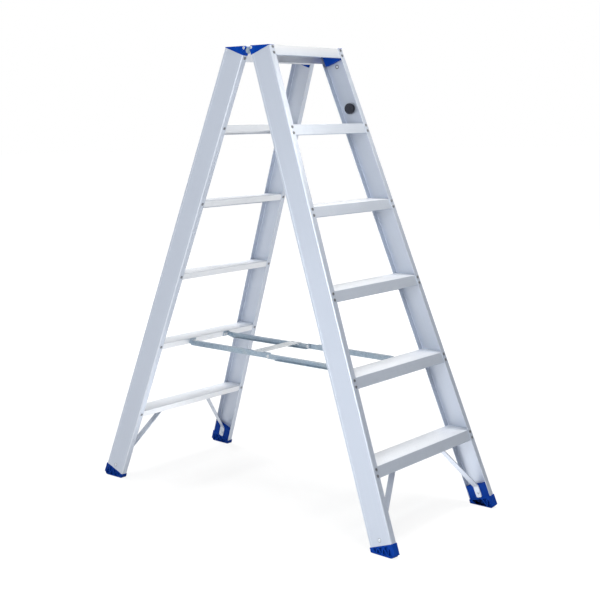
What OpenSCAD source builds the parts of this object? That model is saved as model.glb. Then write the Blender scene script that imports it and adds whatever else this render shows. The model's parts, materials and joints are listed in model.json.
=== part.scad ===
// Double-sided folding step ladder: two aluminium sections with six treads each,
// joined by pinned hinges at the top and by a folding spreader low down.
// X runs along the treads, Y is the climbing direction, Z is up from the floor.
// The rear right corner is the one that is drawn: the others are its mirror images.

/* [Ladder] */
// Height of the lowest tread above the floor
first_tread_h = 240; // [220:1:260]
// Vertical distance from one tread to the next
tread_pitch = 240; // [220:1:270]
// Lean of each section from the vertical, in degrees
lean_angle = 20.2; // [17:0.1:22]
// Outer width over the stiles at their top ends
top_width = 350; // [320:1:400]
// Outer width over the stiles at their bottom ends
bottom_width = 544; // [490:1:600]

/* [Stiles] */
// Depth of the stile channel across its web
stile_depth = 80.5; // [74:0.5:88]
// Width of the stile's flanges, web included
stile_flange = 21; // [20:0.5:26]
// Wall of the flanges
flange_wall = 2.2; // [1.8:0.1:2.6]
// Wall of the web at its edge bands
web_wall = 2.6; // [2:0.1:3.2]
// Width of the raised bands along the web's edges
edge_band_w = 9; // [6:0.5:12]
// Height of the raised bands above the web
edge_band_h = 0.6; // [0.4:0.1:1]
// Radius of the channel's outer corners
stile_corner_r = 4.5; // [1:0.25:5]

/* [Treads] */
// Thickness of the tread plate, ribs included
tread_plate = 3.2; // [2.6:0.1:4]
// Wall of the tread's lips
lip_wall = 2.2; // [1.8:0.1:2.6]
// Height of the lip on the climbing side
outer_lip_h = 31.5; // [31:0.5:36]
// Height of the lip on the inner side
inner_lip_h = 20; // [18:0.5:26]
// Height of the inner lip of the top treads
top_inner_lip_h = 47; // [44:0.5:50]
// Depth of the outer lip's return at its lower edge
lip_return = 5; // [3.5:0.25:6]
// Wall of the return
return_wall = 2; // [1.4:0.1:2.2]
// Number of grooves along a tread
groove_count = 12; // [6:1:16]
// Depth of the grooves
groove_depth = 1; // [0.4:0.1:1.4]
// Diameter of the drain hole in the lip between the spreader brackets
drain_hole_d = 5; // [3:0.5:8]

/* [Hinges] */
// Distance from the hinge axis to the inner flanges
hinge_gap = 11.2; // [11:0.1:14]
// Height of the top treads above the hinge axis
hinge_drop = 13.6; // [11:0.1:15]
// Distance along the stile from the hinge axis down to the stile's end
stile_drop = 19.2; // [18:0.1:23]
// Distance from the stile's outer face in to the hinge plates
hinge_inset = 7.5; // [7:0.25:9]
// Thickness of a hinge plate
hinge_plate_t = 3; // [2:0.25:3]
// Half width of a hinge plate
hinge_plate_r = 7; // [6:0.25:8]
// Radius of a hinge plate's eye
hinge_eye_r = 9; // [8:0.25:9.5]
// Diameter of the hinge pin
hinge_pin_d = 8; // [6:0.5:9]
// Diameter of the pin's heads
hinge_head_d = 12; // [11:0.5:14]
// Thickness of the pin's heads
hinge_head_t = 2; // [1.5:0.25:2.5]

/* [Caps] */
// Thickness of the caps at their outer edge
cap_tip = 1; // [0.6:0.1:4]
// Radius of the caps' inner top edge
cap_corner_r = 6; // [3:0.5:7]
// Length of the cap's plug inside the stile
cap_plug_h = 32; // [28:1:44]

/* [Feet] */
// Height of the stile's lowest corner above the floor
sole_h = 13; // [11:0.25:20]
// Length of the foot's plug inside the stile
foot_plug_h = 42; // [36:1:60]
// Overlap of the foot past the stile's flanges
foot_skin = 1.5; // [1:0.25:3]
// Radius of the toe
toe_r = 11; // [6:0.5:13]
// Setback of the sole's toe behind the front of the stile
toe_set = 1; // [0.75:0.25:3]
// Height of the toe skin's lower edge above the floor
toe_lift = 9.5; // [7:0.5:14]
// Depth of the pockets in the foot's sides
pocket_depth = 7; // [3:0.5:8]
// Margin around the pockets
pocket_margin = 2.5; // [2:0.25:3.5]

/* [Braces] */
// Width of a brace strip
brace_w = 20; // [16:0.5:24]
// Thickness of a brace strip
brace_t = 3; // [2:0.25:4]
// Distance from the ladder's middle to the brace's upper bend
brace_top_x = 94; // [82:1:112]
// Length of the brace's tab below the tread
brace_tab = 30; // [26:1:36]
// Length of the brace's straight end on the foot's plug
brace_foot_len = 36; // [30:1:42]

/* [Spreader] */
// Height of a spreader bar
bar_h = 17; // [15:0.5:19]
// Width of a spreader bar
bar_w = 12; // [11:0.5:15]
// Wall of a spreader bar
bar_wall = 2; // [1.5:0.1:2.5]
// Distance from the ladder's middle to the rear bars' open side
rear_bar_x = 84; // [78:1:92]
// Space between a rear bar's web and a front bar's web
bar_side_gap = 4; // [3.6:0.1:6]
// Length of the bare tongue at the front bars' middle end
tongue_len = 36; // [28:1:50]
// Distance from the middle joint to the cross plate
plate_start = 27; // [22:1:40]
// Width of the cross plate
plate_w = 44; // [36:1:60]
// Thickness of the cross plate
plate_t = 2; // [1.5:0.1:2.5]
// Thickness of the brackets
bracket_t = 2; // [1.6:0.1:2.4]
// Length of a bracket's base along the tread
bracket_len = 26; // [24:1:34]
// Diameter of the pivot pins
pivot_d = 6; // [4:0.5:7]

/* [Knob] */
// Diameter of the hanging knob
knob_d = 35; // [28:1:42]
// Height of the hanging knob
knob_h = 15; // [11:0.5:17]
// Distance from the stile's end down to the knob
knob_drop = 190; // [120:1:212]
// Diameter of the knob's screw
knob_screw_d = 6; // [4:0.5:8]

/* [Fasteners] */
// Diameter of the rivets' shanks
rivet_d = 4.8; // [4:0.1:5.2]
// Diameter of the rivets' heads
rivet_head_d = 9.6; // [8:0.1:10]
// Height of the rivets' heads
rivet_head_h = 1.5; // [1:0.1:1.8]
// Drop of the upper tread rivet below the tread's top
rivet_top_drop = 5.75; // [5.5:0.25:6.5]
// Distance between the two rivets of an outer lip
rivet_pitch = 17.5; // [14:0.25:17.75]
// Distance from the web's outer face to the tread rivets
rivet_inset = 12.5; // [10:0.25:14]

/* [Hidden] */
$fn = 48;

// Colours
alu_colour = "#c3c9d4";
tread_colour = "#dfe2e8";
blue_colour = "#0b36a4";
steel_colour = "#8f9fb0";
rivet_colour = "#a8aeb8";
black_colour = "#2b2725";

// Clearances
overrun = 1;
fit = 0.1;
rivet_fit = 0.05;
pin_fit = 0.05;
lip_fit = 0.1;
tread_end_fit = 0.4;
cap_fit = 0.3;
plate_fit = 0.2;
turn_fit = 0.2;

// Counts
tread_count = 6;
spreader_tread = tread_count / 3;
arc_steps = 6;
eye_steps = 28;
pocket_count = 6;

// Smaller sizes of the fasteners
rivet_hole_d = 2.6;
rivet_hole_h = 0.9;
rivet_tail_d = 6.4;
rivet_tail_h = 4.6;
rivet_tail_slope = 0.9;
rivet_edge_share = 0.45;
rivet_crown_share = 0.7;
inner_rivet_up = 10;
stud_drop = 46;
pivot_head_d = 11;
pivot_head_t = 1.4;
screw_head_d = 12;
screw_head_h = 3;
cap_seat = 1;
knob_edge_r = 3;
knob_dish_d = 22;
knob_dish_h = 1.2;

// Overall frame
top_tread_h = first_tread_h + tread_pitch * (tread_count - 1);
hinge_h = top_tread_h - hinge_drop;
top_half = top_width / 2;
bottom_half = bottom_width / 2;
stile_run = (hinge_h + hinge_gap * sin(lean_angle) - sole_h) / cos(lean_angle) - stile_drop;
flare = atan((bottom_half - top_half) / stile_run);
stile_len = stile_run / cos(flare);
stile_top_h = hinge_h + (hinge_gap + stile_depth) * sin(lean_angle) - stile_drop * cos(lean_angle);
cap_top_h = stile_top_h + cap_tip * cos(lean_angle);

// Lips, in distances from the hinge axis across the section
inner_lip_y = hinge_gap + flange_wall + lip_fit;
outer_lip_y = hinge_gap + stile_depth - flange_wall - lip_fit;
rivet_grip = flange_wall + lip_fit + lip_wall;

// Caps and feet
cap_plug_inset = 1.5;
cap_plug_side = rivet_grip + rivet_tail_h + fit;
cap_zone_h = stile_drop + hinge_drop + stile_depth;
foot_face_x = stile_flange - cap_plug_inset;
toe_front = stile_depth - toe_set;
pocket_start_share = 0.09;
pocket_end_share = 0.97;
pocket_size_share = 0.7;

// Hinge plates, in the section's own frame
hinge_x = top_half - hinge_inset;
hinge_play = 0.4;
hinge_rivet_y = hinge_gap + hinge_plate_r - overrun;
hinge_rivet_z = 2.6;
hinge_foot_share = 0.3;
hinge_foot_y = hinge_gap + stile_depth * hinge_foot_share;
hinge_foot_z = -stile_drop - cap_plug_h + hinge_plate_r + overrun;

// Braces
brace_y = hinge_gap + stile_depth / 2;
brace_rivet_up = 15.5;
brace_rivet_grip = foot_face_x + fit + brace_t - edge_band_h;
brace_under_h = first_tread_h - tread_plate;
brace_blind_h = 1.2;
brace_tab_rivet_share = 0.5;

// Spreader: the pivots lie below the hinge when the ladder is shut
spreader_tread_h = first_tread_h + tread_pitch * (spreader_tread - 1);
spreader_r = -section_z(spreader_tread_h - inner_lip_h / 2, inner_lip_y);
pivot_y = spreader_r * sin(lean_angle);
pivot_z = hinge_h - spreader_r * cos(lean_angle);
rear_web_x = rear_bar_x + bar_w - bar_wall;
front_web_x = rear_bar_x + bar_w + bar_side_gap;
bar_end_play = 6;
bar_cutback = bar_h / 2 + bar_end_play;
ear_h = bar_h - bar_wall / 2;
ear_play = 0.4;
base_h = inner_lip_h - lip_wall;
bracket_rivet_shares = [0.28, 0.7];
bracket_rivet_grip = bracket_t + lip_wall;
plate_rivet_shares = [0.22, 0.78];
plate_rivet_grip = plate_t + bar_wall;

// Height along the section, at a height above the floor and a distance across the section
function section_z(h, across) = (h - hinge_h - across * sin(lean_angle)) / cos(lean_angle);

// Place across the ladder of a face of the section, at a height above the floor
function lean_y(across, h) = across / cos(lean_angle) + (hinge_h - h) * tan(lean_angle);

// Height along a stile, at a height above the floor and a place on the stile's section
function stile_z(h, y, x) = (section_z(h, hinge_gap + y) + stile_drop - x * sin(flare)) / cos(flare);

// Outer face of the web at a height along the section
function web_x(z) = top_half - (stile_drop + z) * tan(flare);

function tread_h(k) = first_tread_h + tread_pitch * (k - 1);
function tread_inner_lip(k) = k == tread_count ? top_inner_lip_h : inner_lip_h;
function arc_points(c, r, from, to, steps = arc_steps) =
    [for (i = [0:steps]) let (a = from + (to - from) * i / steps) c + r * [cos(a), sin(a)]];
function shrunk(points, share) =
    let (middle = (points[0] + points[1] + points[2]) / 3) [for (p = points) middle + (p - middle) * share];

// Mirror images of the rear right corner
module side_of(front) {
    mirror([0, front ? 1 : 0, 0]) children();
}

module hand_of(left) {
    mirror([left ? 1 : 0, 0, 0]) children();
}

module both_hands() {
    for (left = [true, false]) hand_of(left) children();
}

// Frame of a section: origin on the hinge axis, Z along the slope
module section_frame() {
    translate([0, 0, hinge_h]) rotate([lean_angle, 0, 0]) children();
}

// Frame of a stile: origin at its top end, on the web's outer face and the inner flange
module stile_frame() {
    section_frame() translate([top_half, hinge_gap, -stile_drop]) rotate([0, -flare, 0]) children();
}

// Draws a side outline as a slab across X
module slab(from, to) {
    translate([from, 0, 0]) rotate([90, 0, 90]) linear_extrude(to - from) children();
}

// A round bar along X
module rod(from, to, d) {
    translate([from, 0, 0]) rotate([0, 90, 0]) cylinder(h = to - from, d = d);
}

// Two round ends joined by a straight strip
module link_outline(p, q, r) {
    span = norm(q - p);
    translate(p) circle(r);
    translate(q) circle(r);
    translate(p) rotate(atan2(q[1] - p[1], q[0] - p[0])) translate([0, -r]) square([span, r * 2]);
}

// Strip from a round eye at p to a round end at s, with one bend at q
module eye_strip_outline(p, q, s, r, eye_r) {
    start = atan2(q[1] - p[1], q[0] - p[0]);
    end = atan2(s[1] - q[1], s[0] - q[0]);
    neck = asin(r / eye_r);
    bend = (start + end) / 2;
    polygon(concat(
        arc_points(p, eye_r, start - neck, start + neck - 360, eye_steps),
        arc_points(q, r, start + 90, end + 90),
        arc_points(s, r, end + 90, end - 90),
        [q - r / cos(start - bend) * [-sin(bend), cos(bend)]]));
}

// Blind rivet with its head on the plane Z = 0
module rivet(grip) {
    head_r = rivet_head_d / 2;
    hole_r = rivet_hole_d / 2;
    tail_r = rivet_tail_d / 2;
    rotate_extrude() polygon([
        [0, rivet_head_h - rivet_hole_h],
        [hole_r, rivet_head_h - rivet_hole_h],
        [hole_r, rivet_head_h],
        [head_r * rivet_crown_share, rivet_head_h],
        [head_r, rivet_head_h * rivet_edge_share],
        [head_r, 0],
        [rivet_d / 2, 0],
        [rivet_d / 2, -grip],
        [tail_r, -grip - rivet_tail_slope],
        [tail_r, -grip - rivet_tail_h + rivet_tail_slope],
        [rivet_d / 2, -grip - rivet_tail_h],
        [0, -grip - rivet_tail_h]]);
}

// Hole for a rivet whose head lies on the plane Z = 0
module rivet_hole(depth) {
    translate([0, 0, -depth]) cylinder(h = depth + overrun, d = rivet_d + rivet_fit * 2);
}

// Places of one tread's rivets at the rear right stile
module at_tread_rivets(k) {
    top = tread_h(k);
    for (drop = [rivet_top_drop, rivet_top_drop + rivet_pitch])
        stile_frame()
            translate([-rivet_inset, stile_depth, stile_z(top - drop, stile_depth, -rivet_inset)])
                rotate([-90, 0, 0]) children();
    low = top - tread_inner_lip(k) + inner_rivet_up;
    stile_frame() translate([-rivet_inset, 0, stile_z(low, 0, -rivet_inset)]) rotate([90, 0, 0]) children();
}

// Place of the lower brace rivet, with its head on the web's outer face
module at_brace_rivet() {
    stile_frame()
        translate([-edge_band_h, stile_depth / 2, brace_rivet_up - stile_len]) rotate([0, 90, 0]) children();
}

// Place of the upper brace rivet, with its head below the tab
module at_tab_rivet() {
    h = brace_under_h - brace_t;
    translate([brace_top_x - brace_tab * brace_tab_rivet_share, lean_y(brace_y, brace_under_h), h])
        rotate([180, 0, 0]) children();
}

// Place of a hinge plate's rivet in the cap
module at_cap_rivet() {
    section_frame()
        translate([web_x(hinge_rivet_z) - cap_seat, hinge_rivet_y, hinge_rivet_z])
            rotate([0, 90, 0]) children();
}

// Places on the inner web of the front right stile
module at_web(y, drop) {
    side_of(true) stile_frame() translate([-web_wall, y, -drop]) rotate([0, -90, 0]) children();
}

module stile_outline() {
    r = stile_corner_r;
    far = stile_depth;
    polygon(concat(
        [[-stile_flange, 0]],
        arc_points([-r, r], r, -90, 0),
        [[0, edge_band_w], [-edge_band_h, edge_band_w + edge_band_h]],
        [[-edge_band_h, far - edge_band_w - edge_band_h], [0, far - edge_band_w]],
        arc_points([-r, far - r], r, 0, 90),
        [[-stile_flange, far], [-stile_flange, far - flange_wall], [-web_wall, far - flange_wall]],
        [[-web_wall, flange_wall], [-stile_flange, flange_wall]]));
}

module stile(front, left) {
    color(alu_colour) difference() {
        side_of(front) hand_of(left) difference() {
            stile_frame() translate([0, 0, -stile_len]) linear_extrude(stile_len) stile_outline();
            for (k = [1:tread_count]) at_tread_rivets(k) rivet_hole(rivet_grip);
            at_brace_rivet() rivet_hole(rivet_grip);
        }
        if (front && !left) {
            at_web(stile_depth / 2, knob_drop) rod_hole(knob_screw_d);
            at_web(stile_depth / 2, stud_drop) rivet_hole(web_wall + overrun);
        }
    }
}

// Clear hole through the web
module rod_hole(d) {
    translate([0, 0, -web_wall - overrun]) cylinder(h = web_wall + overrun * 2, d = d + rivet_fit * 2);
}

// Side outline of a tread: grooved plate, two leaning lips and a return on the outer one
module tread_outline(k) {
    top = tread_h(k);
    inner = lean_y(inner_lip_y, top);
    step = (lean_y(outer_lip_y, top) - inner) / groove_count;
    under = top - tread_plate;
    foot = top - outer_lip_h;
    low = top - tread_inner_lip(k);
    grooves = [for (i = [0:groove_count - 1]) each [
        [inner + step * (i + 1 / 4), top],
        [inner + step * (i + 1 / 4), top - groove_depth],
        [inner + step * (i + 3 / 4), top - groove_depth],
        [inner + step * (i + 3 / 4), top]]];
    polygon(concat([[inner, top]], grooves, [
        [lean_y(outer_lip_y, top), top],
        [lean_y(outer_lip_y, foot), foot],
        [lean_y(outer_lip_y - lip_return, foot), foot],
        [lean_y(outer_lip_y - lip_return, foot + return_wall), foot + return_wall],
        [lean_y(outer_lip_y - lip_wall, foot + return_wall), foot + return_wall],
        [lean_y(outer_lip_y - lip_wall, under), under],
        [lean_y(inner_lip_y + lip_wall, under), under],
        [lean_y(inner_lip_y + lip_wall, low), low],
        [lean_y(inner_lip_y, low), low]]));
}

// The space between the two webs of a section
module between_webs() {
    high = cap_zone_h;
    low = -stile_drop - stile_run;
    deep = hinge_gap + stile_depth;
    side = (web_wall + tread_end_fit) / cos(flare);
    section_frame() translate([0, deep, 0]) rotate([90, 0, 0]) linear_extrude(deep)
        polygon([
            [web_x(high) - side, high],
            [web_x(low) - side, low],
            [side - web_x(low), low],
            [side - web_x(high), high]]);
}

// The space that a cap takes above the stile's end and its plug below it
module cap_zone() {
    stile_frame() {
        translate([-stile_flange - cap_fit, -stile_depth, -cap_fit])
            cube([stile_flange * 2, stile_depth * 3, cap_zone_h]);
        translate([-stile_flange - cap_fit, cap_plug_side - cap_fit, -cap_plug_h])
            cube([stile_flange, stile_depth - (cap_plug_side - cap_fit) * 2, cap_plug_h]);
    }
}

module tread(front, k) {
    color(tread_colour) side_of(front) difference() {
        intersection() {
            slab(-bottom_half, bottom_half) tread_outline(k);
            between_webs();
        }
        both_hands() at_tread_rivets(k) rivet_hole(rivet_grip + overrun);
        if (k == tread_count) both_hands() cap_zone();
        if (k == 1) both_hands() at_tab_rivet() rivet_hole(brace_t + brace_blind_h + fit);
        if (k == spreader_tread) {
            both_hands() at_bracket_rivets(front) rivet_hole(bracket_rivet_grip + overrun);
            if (!front)
                section_frame() translate([0, hinge_gap, -spreader_r]) rotate([-90, 0, 0])
                    cylinder(h = flange_wall + lip_wall + overrun, d = drain_hole_d);
        }
    }
}

// Side outline of a foot below the stile's end
module boot_outline() {
    heel = -foot_skin;
    toe = [toe_front - toe_r, floor_z(toe_front - toe_r) + toe_r / cos(lean_angle)];
    polygon(concat(
        [[heel, -stile_len], [heel, floor_z(heel)]],
        arc_points(toe, toe_r, 270 - lean_angle, 360),
        [[toe_front, -stile_len]]));
}

// The floor's line in the stile's frame
function floor_z(y) = stile_z(0, y, 0);

// Corner of the truss of ribs in a foot's side, along the pocket's lower and upper edges
function truss_point(i) =
    let (
        along = pocket_start_share + (pocket_end_share - pocket_start_share) * i / (pocket_count + 1),
        y = toe_front * along)
    [y, i % 2 == 0 ? -stile_len - pocket_margin : floor_z(y) + pocket_margin];

module pocket_outlines() {
    for (i = [0:pocket_count - 1])
        polygon(shrunk([truss_point(i), truss_point(i + 1), truss_point(i + 2)], pocket_size_share));
}

module foot(front, left) {
    inner_x = -stile_flange - foot_skin;
    plug_x = web_wall + fit;
    plug_y = flange_wall + fit;
    skin_h = -stile_len - floor_z(stile_depth) - toe_lift;
    color(blue_colour) side_of(front) hand_of(left) difference() {
        stile_frame() {
            difference() {
                slab(inner_x, 0) boot_outline();
                slab(-pocket_depth, overrun) pocket_outlines();
                slab(inner_x - overrun, inner_x + pocket_depth) pocket_outlines();
            }
            translate([inner_x, toe_front - overrun, -stile_len - skin_h])
                cube([-inner_x, toe_set + foot_skin + overrun, skin_h]);
            translate([-foot_face_x, plug_y, -stile_len - overrun])
                cube([foot_face_x - plug_x, stile_depth - plug_y * 2, foot_plug_h + overrun]);
        }
        at_brace_rivet() rivet_hole(brace_rivet_grip);
        translate([0, 0, -hinge_h]) cube([bottom_width * 2, hinge_h * 2, hinge_h * 2], center = true);
    }
}

// Top of a cap, in the stile's frame
function cap_z(y) = stile_z(cap_top_h, y, 0);

module cap_outline() {
    round_at = [cap_corner_r, cap_z(cap_corner_r) - cap_corner_r / cos(lean_angle)];
    polygon(concat(
        [[0, 0]],
        arc_points(round_at, cap_corner_r, 180, 90 - lean_angle),
        [[stile_depth, cap_z(stile_depth)], [stile_depth, 0]]));
}

module cap(front, left) {
    plug_x = web_wall + fit;
    color(blue_colour) side_of(front) hand_of(left) difference() {
        stile_frame() {
            slab(-stile_flange, 0) cap_outline();
            translate([-stile_flange + cap_plug_inset, cap_plug_side, -cap_plug_h])
                cube([stile_flange - cap_plug_inset - plug_x, stile_depth - cap_plug_side * 2,
                    cap_plug_h + overrun]);
        }
        section_frame() hinge_plate_shape(front, plate_fit);
        at_cap_rivet() rivet_hole(stile_flange);
        at_cap_rivet() cylinder(h = stile_flange, d = rivet_head_d + fit * 2);
        at_cap_rivet() translate([0, 0, -cap_rivet_grip() - stile_flange])
            cylinder(h = stile_flange, d = rivet_head_d + fit * 2);
    }
}

// Length of cap and plate that a cap rivet clamps
function cap_rivet_grip() = stile_flange - cap_seat * 2 - rivet_tail_h;

// A hinge plate's inner face, on its own side of the hinge's contact plane
function hinge_plate_x(front) = hinge_x + (front ? hinge_play / 2 : -hinge_play / 2 - hinge_plate_t);

module hinge_plate_shape(front, room) {
    bend = [hinge_rivet_y, hinge_rivet_z];
    end = [hinge_foot_y, hinge_foot_z];
    slab(hinge_plate_x(front) - room, hinge_plate_x(front) + hinge_plate_t + room)
        eye_strip_outline([0, 0], bend, end, hinge_plate_r + room, hinge_eye_r + room);
}

module hinge_plate(front, left) {
    play = front ? 0 : pin_fit;
    color(steel_colour) side_of(front) hand_of(left) difference() {
        section_frame() difference() {
            hinge_plate_shape(front, 0);
            rod(hinge_x - stile_flange, hinge_x + stile_flange, hinge_pin_d + play * 2);
        }
        at_cap_rivet() rivet_hole(stile_flange);
    }
}

module hinge_pin(left) {
    out = hinge_play / 2 + hinge_plate_t;
    in = out + turn_fit;
    color(steel_colour) hand_of(left) translate([0, 0, hinge_h]) {
        rod(hinge_x - in - hinge_head_t, hinge_x + out + hinge_head_t, hinge_pin_d);
        rod(hinge_x - in - hinge_head_t, hinge_x - in, hinge_head_d);
        rod(hinge_x + out, hinge_x + out + hinge_head_t, hinge_head_d);
    }
}

module cap_rivets(front) {
    color(rivet_colour) side_of(front) both_hands() at_cap_rivet() rivet(cap_rivet_grip());
}

module tread_rivets(front) {
    color(rivet_colour) side_of(front) both_hands()
        for (k = [1:tread_count]) at_tread_rivets(k) rivet(rivet_grip);
}

// Strip from the foot's plug up to the underside of the lowest tread, bent at both ends
module brace(front, left) {
    low = -stile_drop - stile_run;
    bend = low + brace_foot_len;
    face = (foot_face_x + fit) / cos(flare);
    back = (foot_face_x + fit + brace_t) / cos(flare);
    high = section_z(brace_under_h, brace_y);
    tilt = atan2(high - bend, web_x(bend) - back - brace_top_x);
    wide = brace_t / sin(tilt);
    tab_y = lean_y(brace_y, brace_under_h) - brace_w / 2;
    color(alu_colour) side_of(front) hand_of(left) difference() {
        union() {
            section_frame() translate([0, brace_y + brace_w / 2, 0]) rotate([90, 0, 0])
                linear_extrude(brace_w) polygon([
                    [web_x(low) - face, low],
                    [web_x(bend) - face, bend],
                    [brace_top_x + wide - brace_w / tan(tilt), high + brace_w],
                    [brace_top_x - brace_w / tan(tilt), high + brace_w],
                    [web_x(bend) - back, bend],
                    [web_x(low) - back, low]]);
            translate([brace_top_x - brace_tab, tab_y, brace_under_h - brace_t])
                cube([brace_tab + wide, brace_w, brace_t]);
        }
        translate([0, 0, brace_under_h]) cube([bottom_half, hinge_h, brace_w * 2]);
        at_brace_rivet() rivet_hole(brace_rivet_grip + overrun);
        at_tab_rivet() rivet_hole(brace_t + overrun);
    }
}

module brace_rivets(front) {
    color(rivet_colour) side_of(front) both_hands() {
        at_brace_rivet() rivet(brace_rivet_grip);
        at_tab_rivet() tab_rivet();
    }
}

// Short rivet that ends inside the tread's plate
module tab_rivet() {
    cylinder(h = rivet_head_h, d = rivet_head_d);
    translate([0, 0, -brace_t - brace_blind_h]) cylinder(h = brace_t + brace_blind_h, d = rivet_d);
}

// Distance from the ladder's middle to a bracket's ear, and the side that its base lies on
function ear_x(front) =
    front ? front_web_x + bar_wall + ear_play : rear_web_x - ear_play - bracket_t;
function base_x(front) = front ? ear_x(front) : ear_x(front) + bracket_t - bracket_len;
function bracket_rivet_x(front, share) =
    base_x(front) + bracket_len * (front ? 1 - share : share) + (front ? bracket_t : -bracket_t);

module at_bracket_rivets(front) {
    for (share = bracket_rivet_shares)
        section_frame()
            translate([bracket_rivet_x(front, share), inner_lip_y - bracket_t, -spreader_r])
                rotate([90, 0, 0]) children();
}

module bracket(front, left) {
    color(steel_colour) side_of(front) hand_of(left) difference() {
        section_frame() translate([0, 0, -spreader_r]) difference() {
            union() {
                translate([base_x(front), inner_lip_y - bracket_t, -base_h / 2])
                    cube([bracket_len, bracket_t, base_h]);
                slab(ear_x(front), ear_x(front) + bracket_t) {
                    circle(d = ear_h);
                    translate([0, -ear_h / 2]) square([inner_lip_y, ear_h]);
                }
            }
            rod(ear_x(front) - overrun, ear_x(front) + bracket_t + overrun, pivot_d);
        }
        at_bracket_rivets(front) rivet_hole(bracket_rivet_grip);
    }
}

module bracket_rivets(front) {
    color(rivet_colour) side_of(front) both_hands() at_bracket_rivets(front) rivet(bracket_rivet_grip);
}

// Pin through a bracket's ear and the web of its bar
module pivot_pins(front) {
    bar_side = front ? front_web_x - turn_fit : rear_web_x + bar_wall + turn_fit;
    ear_side = front ? ear_x(front) + bracket_t : ear_x(front);
    out = front ? -pivot_head_t : pivot_head_t;
    color(steel_colour) side_of(front) both_hands() translate([0, pivot_y, pivot_z]) {
        rod(min(bar_side, ear_side), max(bar_side, ear_side), pivot_d);
        rod(min(bar_side, bar_side + out), max(bar_side, bar_side + out), pivot_head_d);
        rod(min(ear_side, ear_side - out), max(ear_side, ear_side - out), pivot_head_d);
    }
}

// One half of a spreader side: a channel with round ends, level when the ladder stands open
module bar(front, left) {
    web = front ? front_web_x : rear_web_x;
    open = front ? web : web + bar_wall - bar_w;
    from = front ? tongue_len : 0;
    long = pivot_y - bar_cutback - from;
    color(steel_colour) side_of(front) hand_of(left) translate([0, 0, pivot_z]) difference() {
        union() {
            slab(web, web + bar_wall) link_outline([0, 0], [pivot_y, 0], bar_h / 2);
            for (z = [-bar_h / 2, bar_h / 2 - bar_wall])
                translate([open, from, z]) cube([bar_w, long, bar_wall]);
        }
        translate([0, pivot_y, 0]) rod(web - overrun, web + bar_wall + overrun, pivot_d + pin_fit * 2);
        rod(web - overrun, web + bar_wall + overrun, rivet_d + rivet_fit * 2);
        if (!front) translate([0, 0, -pivot_z]) at_plate_rivets() rivet_hole(plate_rivet_grip + overrun);
    }
}

module at_plate_rivets() {
    x = rear_bar_x + (bar_w - bar_wall) / 2;
    z = pivot_z + bar_h / 2 + plate_t;
    for (share = plate_rivet_shares)
        translate([x, plate_start + plate_w * share, z]) children();
}

module cross_plate() {
    half = rear_bar_x + bar_w;
    color(tread_colour) difference() {
        translate([-half, plate_start, pivot_z + bar_h / 2]) cube([half * 2, plate_w, plate_t]);
        both_hands() at_plate_rivets() rivet_hole(plate_t + overrun);
    }
}

module cross_plate_rivets() {
    color(rivet_colour) both_hands() at_plate_rivets() rivet(plate_rivet_grip);
}

// Each half of the middle joint keeps its own part of the rivet, with a fine gap between the two
module middle_rivets(front) {
    web = front ? front_web_x : rear_web_x;
    washer = bar_side_gap / 2 - turn_fit / 2;
    shank_from = front ? web : web - pivot_head_t;
    color(steel_colour) side_of(front) both_hands() translate([0, 0, pivot_z]) {
        rod(shank_from, shank_from + bar_wall + pivot_head_t, rivet_d);
        if (front) {
            rod(web - washer, web, pivot_head_d);
            rod(web + bar_wall, web + bar_wall + pivot_head_t, pivot_head_d);
        } else {
            rod(web + bar_wall, web + bar_wall + washer, pivot_head_d);
            rod(web - pivot_head_t, web, pivot_head_d);
        }
    }
}

// Round knob on the inner web of the front right stile
module hanging_knob() {
    r = knob_d / 2;
    color(black_colour) at_web(stile_depth / 2, knob_drop) rotate_extrude() polygon(concat(
        [[knob_screw_d / 2 + rivet_fit, 0], [r, 0]],
        arc_points([r - knob_edge_r, knob_h - knob_edge_r], knob_edge_r, 0, 90),
        [[knob_dish_d / 2, knob_h], [knob_dish_d / 2 - knob_dish_h, knob_h - knob_dish_h]],
        [[knob_screw_d / 2 + rivet_fit, knob_h - knob_dish_h]]));
}

module knob_screw() {
    under = web_wall - edge_band_h;
    color(steel_colour) at_web(stile_depth / 2, knob_drop) {
        translate([0, 0, -under]) cylinder(h = under + knob_h - knob_dish_h, d = knob_screw_d);
        translate([0, 0, -under - screw_head_h]) cylinder(h = screw_head_h, d = screw_head_d);
        translate([0, 0, knob_h - knob_dish_h]) cylinder(h = knob_dish_h, d = screw_head_d);
    }
}

// Single rivet in the web below the cap of the front right stile, with a head on both faces
module stile_stud() {
    under = web_wall - edge_band_h;
    head_r = rivet_head_d / 2;
    color(rivet_colour) at_web(stile_depth / 2, stud_drop) rotate_extrude() polygon([
        [0, rivet_head_h],
        [head_r * rivet_crown_share, rivet_head_h],
        [head_r, rivet_head_h * rivet_edge_share],
        [head_r, 0],
        [rivet_d / 2, 0],
        [rivet_d / 2, -under],
        [head_r, -under],
        [head_r, -under - rivet_head_h * rivet_edge_share],
        [head_r * rivet_crown_share, -under - rivet_head_h],
        [0, -under - rivet_head_h]]);
}

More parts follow.
